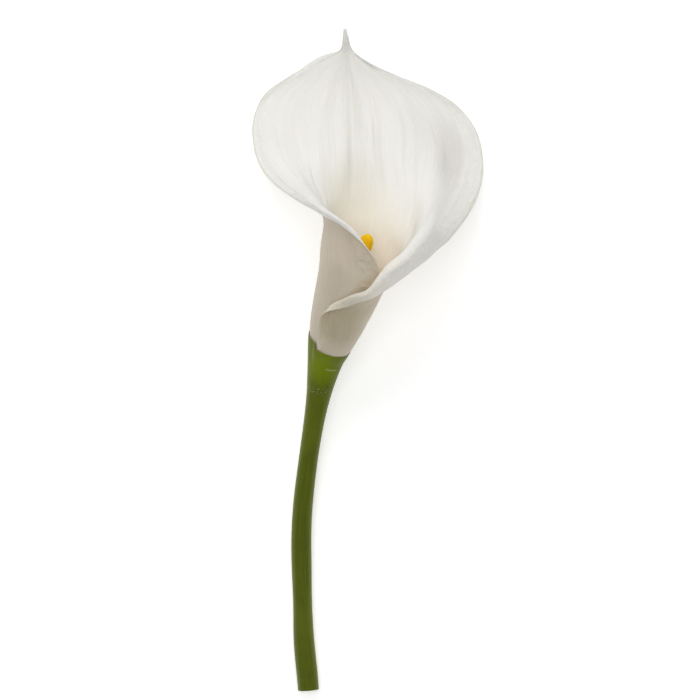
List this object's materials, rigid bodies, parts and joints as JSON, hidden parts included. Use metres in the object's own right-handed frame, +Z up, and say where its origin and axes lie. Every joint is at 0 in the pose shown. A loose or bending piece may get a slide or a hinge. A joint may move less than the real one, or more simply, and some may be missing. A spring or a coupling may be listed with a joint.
{
  "type": "calla lily flower",
  "caption": "Cut calla lily flower lying on its back: a smooth green stem, a white spathe rolled into a flaring funnel with a drawn-out tip, and a yellow finger-like spadix inside it.",
  "frame": {"origin": "middle of the flower's bounding box, on the surface it lies on", "axes": "+Y from the cut end of the stem to the tip of the spathe, +Z up from the surface, +X to the right as seen from above with the tip ahead"},
  "size_m": [0.1048, 0.3028, 0.0691],
  "materials": {
    "stem": "smooth olive green plant skin with a faint waxy sheen",
    "spathe": "matte creamy white petal skin with fine lengthwise veins",
    "spadix": "matte golden yellow, finely beaded with small florets"
  },
  "bodies": {
    "root": {"stem": "stem", "spathe": "spathe", "spadix": "spadix"}
  },
  "joints": []
}
